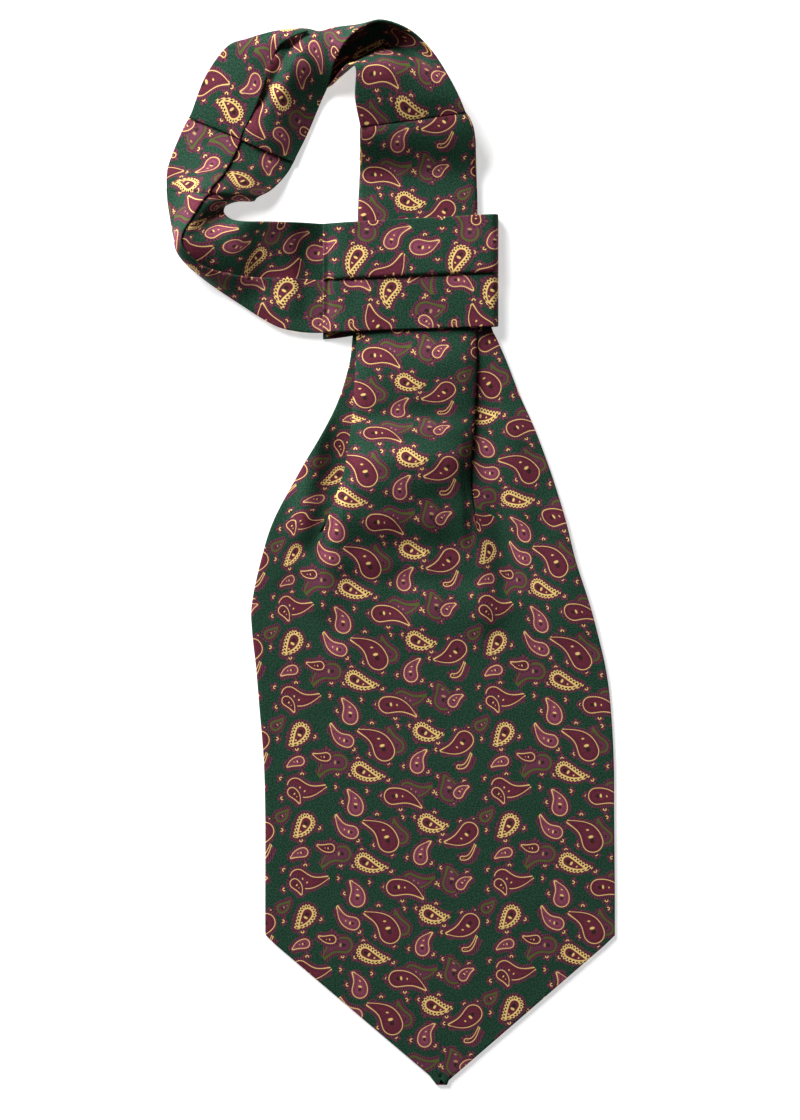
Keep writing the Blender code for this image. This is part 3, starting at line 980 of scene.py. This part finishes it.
@dataclass
class Blade(Panel):
    """The pointed blade, its box pleat and the strip that runs under the keeper.

    Attributes:
        corner_y: Where its side edges end and its point begins, with corner_left and corner_right.
        corner_out: How much further out its left edge is just above that corner.
        tip: Its point, tip_width across.
        fade_left: Where across the point the lines of the left and right pleats run, as shares.
        spacing: How far apart its rows and columns are.
        panel_width: The widths that the side panels' and the centre panel's columns are spaced for.
        least_width: The least width of a side panel.
        centre_bow: How far the centre panel bows up between its folds, as a share of their rise.
        fold_reach: How far a fold stands over, and fold_slack how soon it does so as it rises.
        full_jump: The rise of a fold that hides all the cloth that its pleat takes up.
        hold: How soon the print of a fold's underside gives way to that of its top.
        right_lag: How much further up the blade the right fold begins than the left one.
        roll_power: How soon the centre panel's roll is at its full height beside a fold.
        lowest: The height of flat cloth.
        keeper_y: Where the print of the whole width moves with that of the centre panel.
        fold_rises: How far the folds stand over the side panels, along the blade.
        side_heights: The side panels' height over flat cloth.
        centre_roll: How far the centre panel rolls up over that.
        left_tuck: The cloth taken up by each pleat, where the print jumps at its fold.
        left_raise: How far the print is raised on each side panel.
        side_turn: How far the print turns with the blade's outer edges.
        lean: How far the print leans to the right.
        taken_up: How far the print is taken up along the blade.
        creases: Its ridges and troughs.
    """

    corner_y: float = -174.5
    corner_left: float = -57.0
    corner_right: float = 102.6
    corner_out: float = 0.2
    tip: Point = (23.6, -242.9)
    tip_width: float = 1.2
    fade_left: float = 0.17
    fade_right: float = 0.69
    spacing: float = 2.0
    panel_width: float = 30.0
    centre_width: float = 54.0
    least_width: float = 0.5
    centre_bow: float = 0.22
    fold_reach: float = 1.5
    fold_slack: float = 0.8
    full_jump: float = 1.2
    hold: float = 1.6
    right_lag: float = 4.0
    roll_power: float = 0.4
    lowest: float = 0.75
    keeper_y: float = 140.0
    fold_rises: Table = (
        (-4.0, 0.0), (8.0, 0.35), (20.0, 1.1), (31.0, 2.6), (45.0, 3.4), (75.0, 3.2), (100.0, 1.8),
        (160.0, 1.2), (186.0, 0.3), (200.0, 0.2),
    )
    side_heights: Table = (
        (-80.0, 0.0), (-20.0, 0.9), (20.0, 0.5), (60.0, 0.8), (98.0, 1.2), (160.0, 1.4), (165.0, 1.3),
        (170.0, 1.5), (193.4, 11.0), (196.8, 9.8),
    )
    centre_roll: Table = (
        (-26.0, 0.0), (-15.0, 0.3), (0.0, 2.6), (17.0, 6.2), (40.0, 6.6), (54.0, 2.8), (63.0, 0.4),
        (72.0, 1.5), (88.0, 2.2), (102.0, 0.6), (120.0, 0.2),
    )
    left_tuck: Table = (
        (-40.0, 0.0), (-3.0, 6.0), (13.0, 8.0), (24.0, 16.0), (36.0, 24.6), (60.0, 34.0), (100.0, 44.0),
    )
    right_tuck: Table = (
        (-50.0, 0.0), (-17.0, 8.0), (0.0, 8.0), (12.0, 10.5), (23.0, 17.0), (38.0, 19.5), (62.0, 31.0),
        (75.0, 35.5), (100.0, 42.0),
    )
    left_raise: Table = ((-40.0, 0.0), (0.0, 3.0), (24.0, 7.5), (40.0, 9.0), (100.0, 14.0))
    right_raise: Table = ((-40.0, 0.0), (0.0, 1.8), (30.0, 6.0), (60.0, 6.0), (75.0, 4.0))
    side_turn: Table = ((-50.0, 0.0), (0.0, 0.06), (30.0, 0.26), (60.0, 0.36), (100.0, 0.4))
    lean: Table = (
        (-243.0, -2.2), (-206.0, -1.8), (-165.0, -0.5), (-123.0, 0.0), (-81.0, 2.3), (-39.5, 5.5),
        (1.6, 8.7), (43.2, 9.6), (77.5, 10.5), (200.0, 10.3),
    )
    taken_up: Table = ((52.0, 0.2), (64.0, 5.4), (78.0, 7.8), (162.0, 8.1), (200.0, 9.5))
    creases: tuple[Crease, ...] = (
        Crease((4.0, 26.0), (6.0, -34.0), -1.4, 9.0, 11.0),
        Crease((-31.0, 70.0), (-42.0, 0.0), 4.4, 6.5, 6.0),
        Crease((-22.0, 36.0), (-31.0, -32.0), 1.8, 8.0, 9.0),
        Crease((-50.0, -8.0), (-22.0, -44.0), -1.2, 7.0, 9.0),
        Crease((36.0, 34.0), (44.0, -40.0), 2.2, 7.0, 8.0),
        Crease((48.0, 30.0), (56.0, -24.0), -1.2, 5.0, 7.0),
        Crease((52.0, 70.0), (62.0, 6.0), 1.5, 7.0, 9.0),
        Crease((72.0, 30.0), (86.0, -44.0), 1.0, 9.0, 12.0),
        Crease((-44.0, -28.0), (64.0, -22.0), 0.8, 9.0, 12.0),
    )

    def rows(self) -> tuple[Array, Array]:
        """The blade's rows: their Y, and their left edge, left fold, right fold, right edge and slant."""
        table = np.array([[r.y, r.left, r.left_fold, r.right_fold, r.right, r.slant] for r in BLADE_ROWS])
        places = []
        for i, step in enumerate(np.diff(table[:, 0])):
            places.append(np.linspace(i, i + 1, max(round(step / self.spacing), 1), endpoint=False))
        places.append([len(table) - 1.0])
        upper = spline_weights(len(table), np.concatenate(places)) @ table
        height = self.corner_y - self.tip[1]
        low = shares(height, self.spacing, self.half)
        low = low[low < 1 - 2 * self.spacing / height]
        y = self.tip[1] + height * low
        left = self.tip[0] - self.tip_width / 2 + (self.corner_left - self.tip[0]) * low
        right = self.tip[0] + self.tip_width / 2 + (self.corner_right - self.tip[0]) * low
        folds = [left + (right - left) * fade for fade in (self.fade_left, self.fade_right)]
        point = np.stack([y, left, *folds, right, np.zeros_like(y)], axis=1)
        first = BLADE_ROWS[0]
        corner = np.array(
            [[self.corner_y, self.corner_left, first.left_fold, first.right_fold, self.corner_right, 0.0]]
        )
        edge = corner.copy()
        edge[:, 0] += self.spacing
        edge[:, 1] -= self.corner_out
        rows = np.concatenate([point, corner, edge, upper])
        return rows[:, 0], rows[:, 1:]

    def side_columns(
        self,
        y: Array,
        side: Array,
        inward: float,
        lines: tuple[Array, Array, Array],
        printing: tuple[Table, Table],
    ) -> list[Column]:
        """The columns of a side panel and of the pleat's fold, from the outer edge inwards.

        Args:
            y: The rows' places along the blade.
            side: The side panel's height at each row.
            inward: 1.0 where inwards is to the right, -1.0 where it is to the left.
            lines: The outer edge, the fold and the fold's rise at each row.
            printing: The tables of the cloth taken up by the pleat and of how far the print is raised.

        Returns:
            For each column its X, its height, the cloth hidden before it and how far its print is raised.
        """
        edge, fold, rise = lines
        tuck, raised = (between(table, y) for table in printing)
        turn = between(self.side_turn, y)
        jump = np.minimum(rise / self.full_jump, 1.0)
        under = rise / (rise + self.fold_slack) * self.fold_reach
        flatness = 1 - jump
        _, _, outmost = FOLD_TURN[0]
        room = self.spacing - outmost
        panel = shares(self.panel_width, self.spacing, self.half)
        panel = panel[: -len(RIM_STEPS) + 1] / panel[-len(RIM_STEPS)]
        width = np.maximum(inward * (fold - edge) - room * flatness, self.least_width)
        columns: list[Column] = []
        for share in panel:
            x = edge + inward * width * share
            spread = 1 - (1 - jump) * share**2
            up = (raised - turn * inward * (fold - x)) * spread
            columns.append((x, side, -inward * tuck * spread, up))
        for out, up, flat in FOLD_TURN:
            hold = jump * max(0.0, 1 - up * self.hold)
            x = fold + inward * (out * under + flat * flatness)
            columns.append((x, side + rise * up, -inward * tuck * hold, raised * hold))
        return columns

    def skin(self) -> Skin:
        """The blade's skin."""
        y, edges = self.rows()
        left, left_fold, right_fold, right, slant = edges.T
        rises = level(self.fold_rises, y), level(self.fold_rises, y - self.right_lag)
        side = level(self.side_heights, y) + self.lowest
        roll = level(self.centre_roll, y)
        outer_left = self.side_columns(
            y, side, 1.0, (left, left_fold, rises[0]), (self.left_tuck, self.left_raise)
        )
        outer_right = self.side_columns(
            y, side, -1.0, (right, right_fold, rises[1]), (self.right_tuck, self.right_raise)
        )
        start, end = outer_left[-1][0], outer_right[-1][0]
        _, top, _ = FOLD_TURN[-1]
        none = np.zeros_like(y)
        centre: list[Column] = []
        for share in np.linspace(0.0, 1.0, round(self.centre_width / self.spacing) + 1)[1:-1]:
            rounded = 4 * share * (1 - share)
            rise = rises[0] + (rises[1] - rises[0]) * share
            height = side + rise * (top + self.centre_bow * rounded) + roll * rounded**self.roll_power
            centre.append((start + (end - start) * share, height, none, none))
        columns = outer_left + centre + outer_right[::-1]
        x, z, hidden, raised = (np.stack(parts, axis=1) for parts in zip(*columns))
        slanted = y[:, None] + slant[:, None] * (x - left[:, None]) / (right - left)[:, None]
        grid = creased(np.stack([x, slanted, z], axis=2), self.creases)
        lean = between(self.lean, y)[:, None]
        moves = (slanted >= self.keeper_y) | (hidden == 0)
        taken = between(self.taken_up, slanted) * moves
        printed = np.stack([x + lean + hidden, slanted + taken + raised], axis=2)
        return Skin(self.name, grid, printed, printed, self.half)


@dataclass
class Keeper(Panel):
    """The keeper: a flattened loop round the strip, sewn closed at its left end.

    Attributes:
        left: Its seam's X, and right its fold's.
        top: The Y of its upper edge at the seam and at the fold, and bottom that of its lower edge.
        lap_share: Where its upper half laps the lower one, as a share of its height.
        lap_gap: Half the width of that step, as such a share.
        lap_rise: How high the step is, lap_least how much of it is left lap_fade from its edge.
        front: The height of its front, seam_front the same at the seam, and back that of its back.
        ramp: How far from the seam its front is at its full height.
        back_drop: How far its back's lower edge shows below its front, at the seam.
        drop_pace: How soon that ends along the loop.
        turn_points: How many points its fold has.
        print_start: The silk's place at its seam, and print_pace how fast the silk runs along it.
        print_jump: How far the print jumps at the lap.
    """

    left: float = -30.8
    right: float = 49.3
    top: Point = (150.4, 154.8)
    bottom: Point = (100.8, 103.5)
    lap_share: float = 0.511
    lap_gap: float = 0.0012
    lap_rise: float = 1.1
    lap_least: float = 0.4
    lap_fade: float = 26.0
    front: float = 6.3
    seam_front: float = 4.2
    back: float = 0.65
    ramp: float = 12.0
    back_drop: float = 3.0
    drop_pace: float = 2.5
    spacing: float = 1.3
    turn_points: int = 13
    print_start: Point = (123.9, -155.0)
    print_pace: float = 0.889
    print_jump: Point = (14.3, 4.3)
    creases: tuple[Crease, ...] = (
        Crease((-28.4, 102.0), (-28.4, 150.5), -1.2, 1.0, 1.2),
        Crease((-18.0, 104.0), (-17.0, 150.0), -0.6, 6.0, 4.0),
        Crease((38.0, 106.0), (40.0, 150.0), 0.3, 8.0, 6.0),
    )

    def path(self) -> Array:
        """The loop's path in X and Z, from its seam along its front, round its fold and back."""
        radius = (self.front - self.back) / 2
        turn_x = self.right - radius - self.half
        run = turn_x - self.left
        places = self.left + run * shares(run, self.spacing, self.half)
        x = places[: -len(RIM_STEPS)]
        z = self.seam_front + (self.front - self.seam_front) * ease((x - self.left) / self.ramp)
        angles = np.linspace(HALF_TURN / 2, -HALF_TURN / 2, self.turn_points)
        turn = np.stack([turn_x + np.cos(angles) * radius, self.back + radius + np.sin(angles) * radius], 1)
        home = places[::-1][len(RIM_STEPS) :]
        back = np.stack([home, np.full_like(home, self.back)], 1)
        return np.concatenate([np.stack([x, z], 1), turn, back])

    def skin(self) -> Skin:
        """The keeper's skin."""
        path = self.path()
        share = (path[:, 0] - self.left) / (self.right - self.left)
        upper, lower = (edge[0] + (edge[1] - edge[0]) * share for edge in (self.top, self.bottom))
        on_back = np.arange(len(path)) > np.argmax(path[:, 0])
        lower = lower - on_back * self.back_drop * ease(1 - share * self.drop_pace)
        lap = (upper + (lower - upper) * self.lap_share)[:, None]
        height = self.top[0] - self.bottom[0]
        across = shares(height, self.spacing, self.half)
        near_lap = np.abs(across - self.lap_share) < self.spacing / height / 2
        edges = [self.lap_share - self.lap_gap, self.lap_share + self.lap_gap]
        across = np.sort(np.concatenate([across[~near_lap], edges]))
        y = upper[:, None] + (lower - upper)[:, None] * across
        fade = self.lap_least + (1 - self.lap_least) * ease(1 - (y - lap) / self.lap_fade)
        front_share = np.clip((path[:, 1] - self.back) / (self.front - self.back), 0, 1)
        lift = (y > lap) * self.lap_rise * fade * (front_share * ~on_back)[:, None]
        x, level_z = (path[:, axis : axis + 1] + y * 0 for axis in (0, 1))
        grid = np.stack([x, y, level_z + lift], axis=2)
        grid = np.where(on_back[:, None, None], grid, creased(grid, self.creases))
        run = run_along(np.stack([x, x * 0, level_z], axis=2), 0)
        jumps = (y < lap)[..., None] * np.array(self.print_jump)
        placed = np.stack([self.print_start[0] - y, self.print_start[1] + run * self.print_pace], axis=2)
        return Skin(self.name, grid, placed + jumps, placed + jumps, self.half)


@dataclass
class Strip(Panel):
    """A stretch of the neck strip, lofted through its rows.

    Attributes:
        rows: Its sections, in order from the blade to the keeper.
        creases: Its ridges and troughs.
        length: The length and the width that its rows and columns are spaced for.
        row_spacing: How far apart its rows and its columns are.
        first_share: How far across the rows it begins, as a share.
        gap: How far above the rows it lies.
        print_along: The silk's place along itself, at lengths run along the strip.
        print_across: The silk's place across itself at the strip's first edge, at such lengths.
    """

    rows: Sections = ()
    creases: tuple[Crease, ...] = ()
    length: float = 150.0
    width: float = 53.0
    row_spacing: float = 1.3
    column_spacing: float = 1.3
    first_share: float = 0.0
    gap: float = 0.0
    print_along: Table = ()
    print_across: Table = ()

    def printed(self, run: Array, beside: Array, across: Array) -> tuple[Array, Array]:
        """The places on the silk of the strip's upper and lower faces.

        Args:
            run: The length run along the strip at each point.
            beside: The length run across it.
            across: Each column's share of its width.

        Returns:
            The two faces' places.
        """
        placed = np.stack([beside + between(self.print_across, run), between(self.print_along, run)], axis=2)
        return placed, placed

    def skin(self) -> Skin:
        """The strip's skin."""
        along = shares(self.length, self.row_spacing, self.half)
        across = shares(self.width, self.column_spacing, self.half)
        covered = self.first_share + across * (1 - self.first_share)
        base = creased(loft(self.rows, along, covered), self.creases)
        grid = base + grid_normals(base) * self.gap
        beside = run_along(grid, 1)
        run = run_along(grid, 0).mean(axis=1)[:, None] + beside * 0
        return Skin(self.name, grid, *self.printed(run, beside, across), self.half)


MIDDLE_ROWS: Sections = (
    ((-13.6, 193.6, 12.4), (2.5, 195.7, 12.5), (18.5, 197.9, 12.4), (34.4, 200.1, 12.2)),
    ((-16.0, 206.5, 16.4), (1.0, 208.5, 16.8), (17.0, 208.0, 15.8), (31.0, 208.0, 13.2)),
    ((-15.7, 219.5, 19.0), (0.0, 221.0, 18.5), (14.0, 219.0, 15.5), (26.6, 216.5, 12.8)),
    ((-19.5, 221.5, 15.0), (-2.0, 227.0, 11.5), (10.0, 226.5, 10.0), (20.6, 226.0, 13.5)),
    ((-23.5, 218.0, 9.0), (-7.0, 229.0, 4.0), (4.5, 232.5, 6.0), (12.6, 234.4, 16.0)),
    ((-27.5, 213.5, 4.5), (-12.0, 228.5, 2.0), (0.5, 238.0, 5.5), (4.5, 239.0, 18.5)),
    ((-32.0, 212.0, 2.2), (-17.0, 229.0, 1.5), (-5.5, 241.1, 5.5), (-5.0, 241.1, 20.0)),
    ((-38.0, 212.0, 1.5), (-24.0, 230.0, 1.3), (-15.5, 240.0, 5.5), (-12.8, 238.3, 19.0)),
    ((-43.0, 219.0, 1.2), (-34.0, 230.5, 1.6), (-27.5, 238.8, 6.0), (-19.8, 232.5, 15.5)),
    ((-44.5, 238.2, 1.0), (-38.5, 239.2, 3.6), (-33.0, 234.5, 9.0), (-24.9, 224.0, 11.0)),
    ((-62.0, 235.6, 1.0), (-54.5, 231.5, 4.0), (-44.0, 225.0, 11.0), (-27.9, 214.5, 4.5)),
    ((-74.5, 230.5, 1.0), (-63.0, 224.5, 4.4), (-49.0, 216.5, 10.0), (-31.6, 206.5, 1.4)),
    ((-84.0, 217.5, 1.0), (-69.5, 210.5, 4.4), (-54.0, 202.0, 8.4), (-37.7, 192.0, 1.0)),
    ((-90.8, 201.2, 1.2), (-75.0, 194.5, 4.4), (-59.0, 187.7, 6.7), (-43.0, 181.2, 1.7)),
    ((-92.0, 198.4, 1.8), (-76.2, 191.7, 4.4), (-60.2, 184.9, 6.0), (-44.2, 178.4, 2.1)),
)


@dataclass
class MiddleStrip(Strip):
    """The neck strip from the blade's seam, over the half turn, down to the diagonal seam.

    Attributes:
        print_start: The silk's place where its face begins, and back_start where its back does.
        print_slant: How far the print slants at the blade's seam, and slant_run how far that reaches.
        back_pace: How fast the silk runs along its back, which shows on the diagonal stretch.
    """

    rows: Sections = MIDDLE_ROWS
    length: float = 190.0
    print_start: Point = (-5.0, 202.6)
    print_slant: float = 6.5
    slant_run: float = 25.0
    back_start: Point = (-30.1, -251.7)
    back_pace: float = 0.91
    creases: tuple[Crease, ...] = (
        Crease((-38.0, 244.0), (-61.0, 200.0), -4.0, 2.4, 3.6),
        Crease((-52.0, 206.0), (-40.0, 226.0), 1.0, 5.0, 6.0),
        Crease((-70.0, 196.0), (-46.0, 186.0), 0.8, 4.0, 6.0),
    )

    def printed(self, run: Array, beside: Array, across: Array) -> tuple[Array, Array]:
        """The places on the silk of its face, and of its back seen from behind."""
        slant = self.print_slant * across * ease(1 - run / self.slant_run)
        face = np.stack([beside + self.print_start[0], run + slant + self.print_start[1]], axis=2)
        left = beside[:, -1:] - beside
        back = np.stack([left + self.back_start[0], run * self.back_pace + self.back_start[1]], axis=2)
        return face, back


MIDDLE_LAP_ROWS: Sections = (
    ((-37.4, 237.6, 9.6), (-38.5, 238.5, 7.5), (-39.5, 239.3, 3.5)),
    ((-44.0, 235.0, 9.2), (-45.3, 237.0, 8.0), (-46.5, 238.8, 4.8)),
    ((-50.9, 230.5, 8.0), (-52.6, 234.4, 7.4), (-54.5, 237.8, 5.0)),
    ((-54.3, 222.0, 7.6), (-59.4, 228.8, 7.4), (-65.0, 234.8, 5.2)),
    ((-57.0, 214.5, 7.4), (-65.6, 222.8, 7.2), (-74.6, 231.0, 5.2)),
    ((-61.0, 203.5, 8.0), (-72.4, 210.6, 7.4), (-84.3, 217.6, 5.0)),
    ((-67.0, 191.5, 7.2), (-78.8, 196.5, 6.3), (-90.6, 201.5, 4.0)),
    ((-68.2, 188.6, 6.9), (-80.0, 193.7, 5.6), (-91.8, 198.7, 3.4)),
)


@dataclass
class MiddleLap(Strip):
    """The half of the diagonal stretch that laps over the other."""

    rows: Sections = MIDDLE_LAP_ROWS
    length: float = 75.0
    width: float = 26.0
    column_spacing: float = 1.2
    print_along: Table = ((0.0, -169.8), (100.0, -85.6))
    print_across: Table = ((0.0, 9.0), (100.0, 9.0))


# Each row runs from the strip's inner edge over the pleat line to its outer edge.
END_ROWS: Sections = (
    ((-43.3, 180.4, 0.9), (-67.3, 190.4, 4.2), (-91.1, 200.4, 0.8)),
    ((-47.3, 173.4, 1.4), (-70.8, 181.5, 6.8), (-95.6, 191.2, 1.0)),
    ((-54.0, 166.0, 4.0), (-75.5, 172.5, 8.0), (-101.2, 176.5, 1.0)),
    ((-60.4, 162.4, 5.4), (-81.3, 165.2, 10.2), (-101.6, 167.0, 1.0)),
    ((-62.4, 161.2, 2.0), (-82.0, 163.2, 9.6), (-101.6, 165.2, 1.0)),
    ((-69.0, 161.3, 1.6), (-85.6, 158.7, 12.0), (-100.8, 159.5, 1.0)),
    ((-74.5, 159.5, 2.4), (-90.5, 150.5, 13.5), (-99.0, 151.5, 1.0)),
    ((-75.8, 155.5, 4.4), (-94.2, 142.5, 15.0), (-97.0, 143.3, 1.0)),
    ((-72.0, 152.0, 8.0), (-91.5, 136.5, 14.0), (-93.8, 135.5, 1.0)),
    ((-66.0, 150.9, 12.0), (-83.0, 130.5, 10.0), (-84.5, 126.5, 1.0)),
    ((-57.0, 150.8, 12.4), (-68.0, 126.8, 6.4), (-69.5, 115.0, 1.0)),
    ((-46.0, 150.8, 9.6), (-52.0, 126.0, 3.4), (-53.5, 104.5, 1.2)),
    ((-39.0, 150.8, 5.8), (-41.5, 125.5, 2.2), (-43.0, 101.4, 1.2)),
    ((-31.2, 150.6, 1.3), (-31.6, 124.6, 1.3), (-33.0, 100.7, 1.2)),
    ((-26.6, 150.5, 1.3), (-26.6, 124.4, 1.3), (-26.6, 101.4, 1.2)),
)
END_CREASES = (
    Crease((-62.0, 152.0), (-58.0, 112.0), -1.6, 6.0, 7.0),
    Crease((-46.0, 152.0), (-44.0, 106.0), 1.2, 4.0, 6.0),
    Crease((-60.0, 176.0), (-86.0, 190.0), -0.8, 4.0, 6.0),
)


@dataclass
class EndStrip(Strip):
    """The neck strip from the diagonal seam, round the left turn, to the keeper's seam."""

    rows: Sections = END_ROWS
    creases: tuple[Crease, ...] = END_CREASES
    print_along: Table = (
        (0.0, -162.4), (24.0, -139.6), (60.0, -85.5), (77.0, -74.0), (92.0, -56.2), (126.0, -26.3),
    )
    print_across: Table = ((0.0, -26.0), (24.0, -24.5), (60.0, -29.4), (121.0, -29.0))


@dataclass
class EndLap(EndStrip):
    """The half of the end stretch that laps over the other, outside the turn."""

    width: float = 26.0
    column_spacing: float = 1.2
    first_share: float = 0.5
    gap: float = 1.3
    print_along: Table = (
        (0.0, -155.0), (19.0, -138.6), (32.0, -121.6), (101.0, -55.2), (122.0, -38.2), (140.0, -22.4),
    )
    print_across: Table = ((0.0, 7.0), (32.0, 5.5), (101.0, 13.0), (135.0, 12.3))


# ---- The studio


@dataclass
class Studio:
    """A pale floor, soft light and a camera straight above.

    Attributes:
        view_centre: The middle of the view.
        view_height: The height of the view where the cravat lies.
        camera_height: How high the camera hangs, all in metres.
        sensor: The height of the camera's sensor in millimetres.
        floor_size: The floor's width, and floor_drop how far below the cravat it lies.
        floor_shade: How pale it is, floor_glow how much it glows, so that it stays white.
        sky_strength: How strong the even light is.
        lamp_place: Where the key lamp hangs, with its width and its power in watts.
    """

    view_centre: Point = (0.0044, -0.003)
    view_height: float = 0.512
    camera_height: float = 1.9
    sensor: float = 36.0
    floor_size: float = 6.0
    floor_drop: float = 0.0002
    floor_shade: float = 0.9
    floor_glow: float = 0.55
    floor_roughness: float = 0.9
    floor_gloss: float = 0.1
    sky_strength: float = 0.06
    lamp_place: Place = (-1.1, 1.5, 0.95)
    lamp_width: float = 1.1
    lamp_power: float = 88.0

    def camera(self) -> None:
        """Hangs the camera and makes it the scene's."""
        data = bpy.data.cameras.new("camera")
        data.sensor_fit = "VERTICAL"
        data.sensor_height = self.sensor
        data.lens = self.sensor * self.camera_height / self.view_height
        made = bpy.data.objects.new("camera", data)
        made.location = (*self.view_centre, self.camera_height)
        bpy.context.scene.collection.objects.link(made)
        bpy.context.scene.camera = made

    def floor(self) -> None:
        """Lays the pale floor."""
        half = self.floor_size / 2
        corners = [(-half, -half), (half, -half), (half, half), (-half, half)]
        mesh = bpy.data.meshes.new("floor")
        mesh.from_pydata([(x, y, -self.floor_drop) for x, y in corners], [], [(0, 1, 2, 3)])
        material = bpy.data.materials.new("floor_white")
        material.use_nodes = True
        shader = material.node_tree.nodes["Principled BSDF"]
        shader.inputs["Base Color"].default_value = (*[self.floor_shade] * 3, 1.0)
        shader.inputs["Emission Color"].default_value = WHITE
        shader.inputs["Emission Strength"].default_value = self.floor_glow
        shader.inputs["Roughness"].default_value = self.floor_roughness
        shader.inputs["Specular IOR Level"].default_value = self.floor_gloss
        mesh.materials.append(material)
        made = bpy.data.objects.new("floor", mesh)
        bpy.context.scene.collection.objects.link(made)

    def lamp(self) -> None:
        """Hangs the soft key lamp, facing the cravat."""
        data = bpy.data.lights.new("key_light", "AREA")
        data.shape = "SQUARE"
        data.size = self.lamp_width
        data.energy = self.lamp_power
        made = bpy.data.objects.new("key_light", data)
        made.location = self.lamp_place
        made.rotation_euler = (-made.location).to_track_quat("-Z", "Y").to_euler()
        bpy.context.scene.collection.objects.link(made)

    def sky(self) -> None:
        """Fills the shadows with an even white light."""
        world = bpy.data.worlds.new("sky")
        world.use_nodes = True
        background = world.node_tree.nodes["Background"]
        background.inputs["Color"].default_value = WHITE
        background.inputs["Strength"].default_value = self.sky_strength
        bpy.context.scene.world = world

    def build(self) -> None:
        """Sets the whole studio up."""
        self.camera()
        self.floor()
        self.sky()
        self.lamp()
        bpy.context.scene.view_settings.view_transform = "Standard"


def main() -> None:
    """Builds the cravat's pieces in order and reports each."""
    logging.basicConfig(level=logging.INFO, format="%(message)s")
    Studio().build()
    silk = PrintedSilk().make()
    log.info("%s: %d nodes", silk.name, len(silk.node_tree.nodes))
    panels = (
        Blade("blade_skin", "blade", (0.17, 0.442), 0.0555, ("floor",)),
        Keeper("keeper_skin", "keeper", (0.056, 0.166), 0.0088, ("floor", "blade_skin")),
        MiddleStrip("neck_middle_skin", "neck_middle", (0.053, 0.15), 0.0078, ("floor",)),
        MiddleLap("neck_middle_lap_skin", "neck_middle_lap", (0.026, 0.075), 0.0015, ("neck_middle_skin",)),
        EndStrip("neck_end_skin", "neck_end", (0.053, 0.14), 0.0070, ("floor",)),
        EndLap("neck_end_lap_skin", "neck_end_lap", (0.027, 0.14), 0.0036, ("neck_end_skin",)),
    )
    for panel in panels:
        panel.make(silk)


if __name__ == "__main__":
    main()
